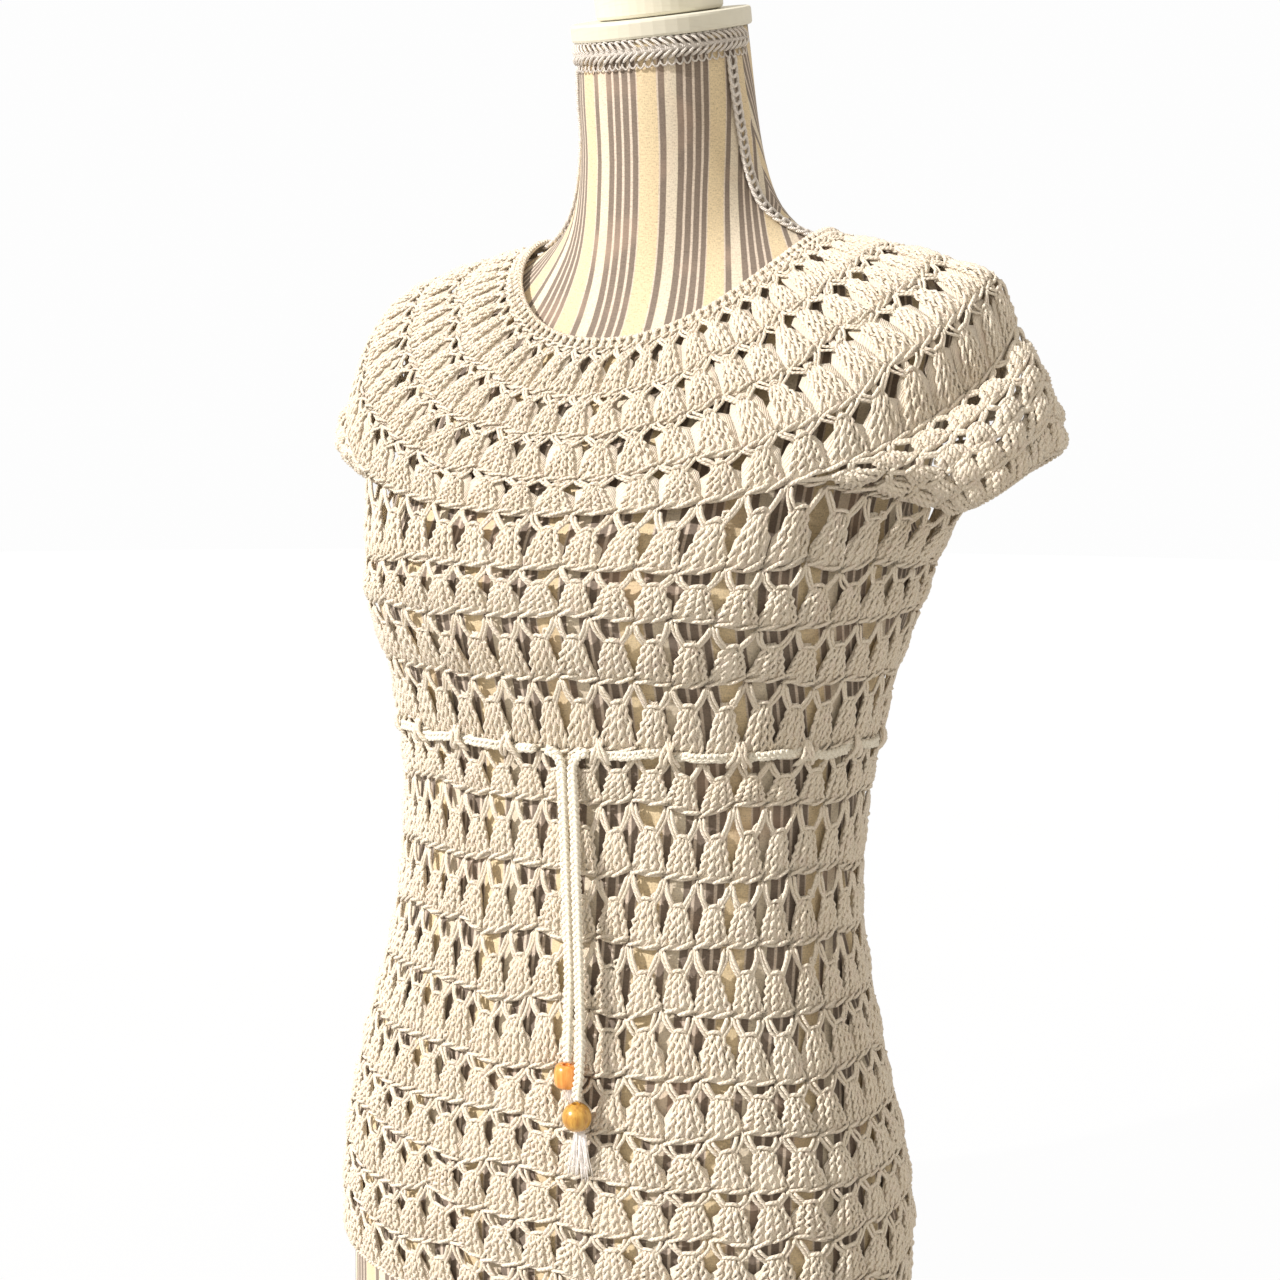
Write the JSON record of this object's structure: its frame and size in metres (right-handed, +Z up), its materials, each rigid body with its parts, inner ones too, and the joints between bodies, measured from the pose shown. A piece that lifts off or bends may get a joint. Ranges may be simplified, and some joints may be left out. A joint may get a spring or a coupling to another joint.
{
  "type": "crochet top on a dress form",
  "caption": "Cap-sleeve crochet top with a threaded drawstring and bead ends, worn by a limbless tabletop dress form.",
  "frame": {"origin": "on the flat underside of the dress form, midway between the sides and below the waist's middle", "axes": "+Z up, the front faces -Y, the wearer's left is +X"},
  "size_m": [0.4325, 0.2705, 0.7562],
  "materials": {
    "natural_cotton": "matte crochet",
    "ivory_cord": "braided",
    "beech_bead": "varnished",
    "ticking_cloth": "woven stripes",
    "silver_ivory_braid": "shiny yarn",
    "cream_paint": "painted"
  },
  "bodies": {
    "root": {"neck_band": "natural_cotton", "yoke_front": "natural_cotton", "yoke_back": "natural_cotton", "shoulder_left": "natural_cotton", "shoulder_right": "natural_cotton", "bodice": "natural_cotton", "skirt": "natural_cotton", "sleeve_left": "natural_cotton", "sleeve_right": "natural_cotton", "drawstring": "ivory_cord", "cord_end_long": "ivory_cord", "cord_end_short": "ivory_cord", "tassel_long": "ivory_cord", "tassel_short": "ivory_cord", "bead_round": "beech_bead", "bead_barrel": "beech_bead", "form_torso": "ticking_cloth", "braid_neck": "silver_ivory_braid", "braid_seam_left": "silver_ivory_braid", "braid_seam_right": "silver_ivory_braid", "neck_cap": "cream_paint", "top_disc": "cream_paint"}
  },
  "joints": []
}
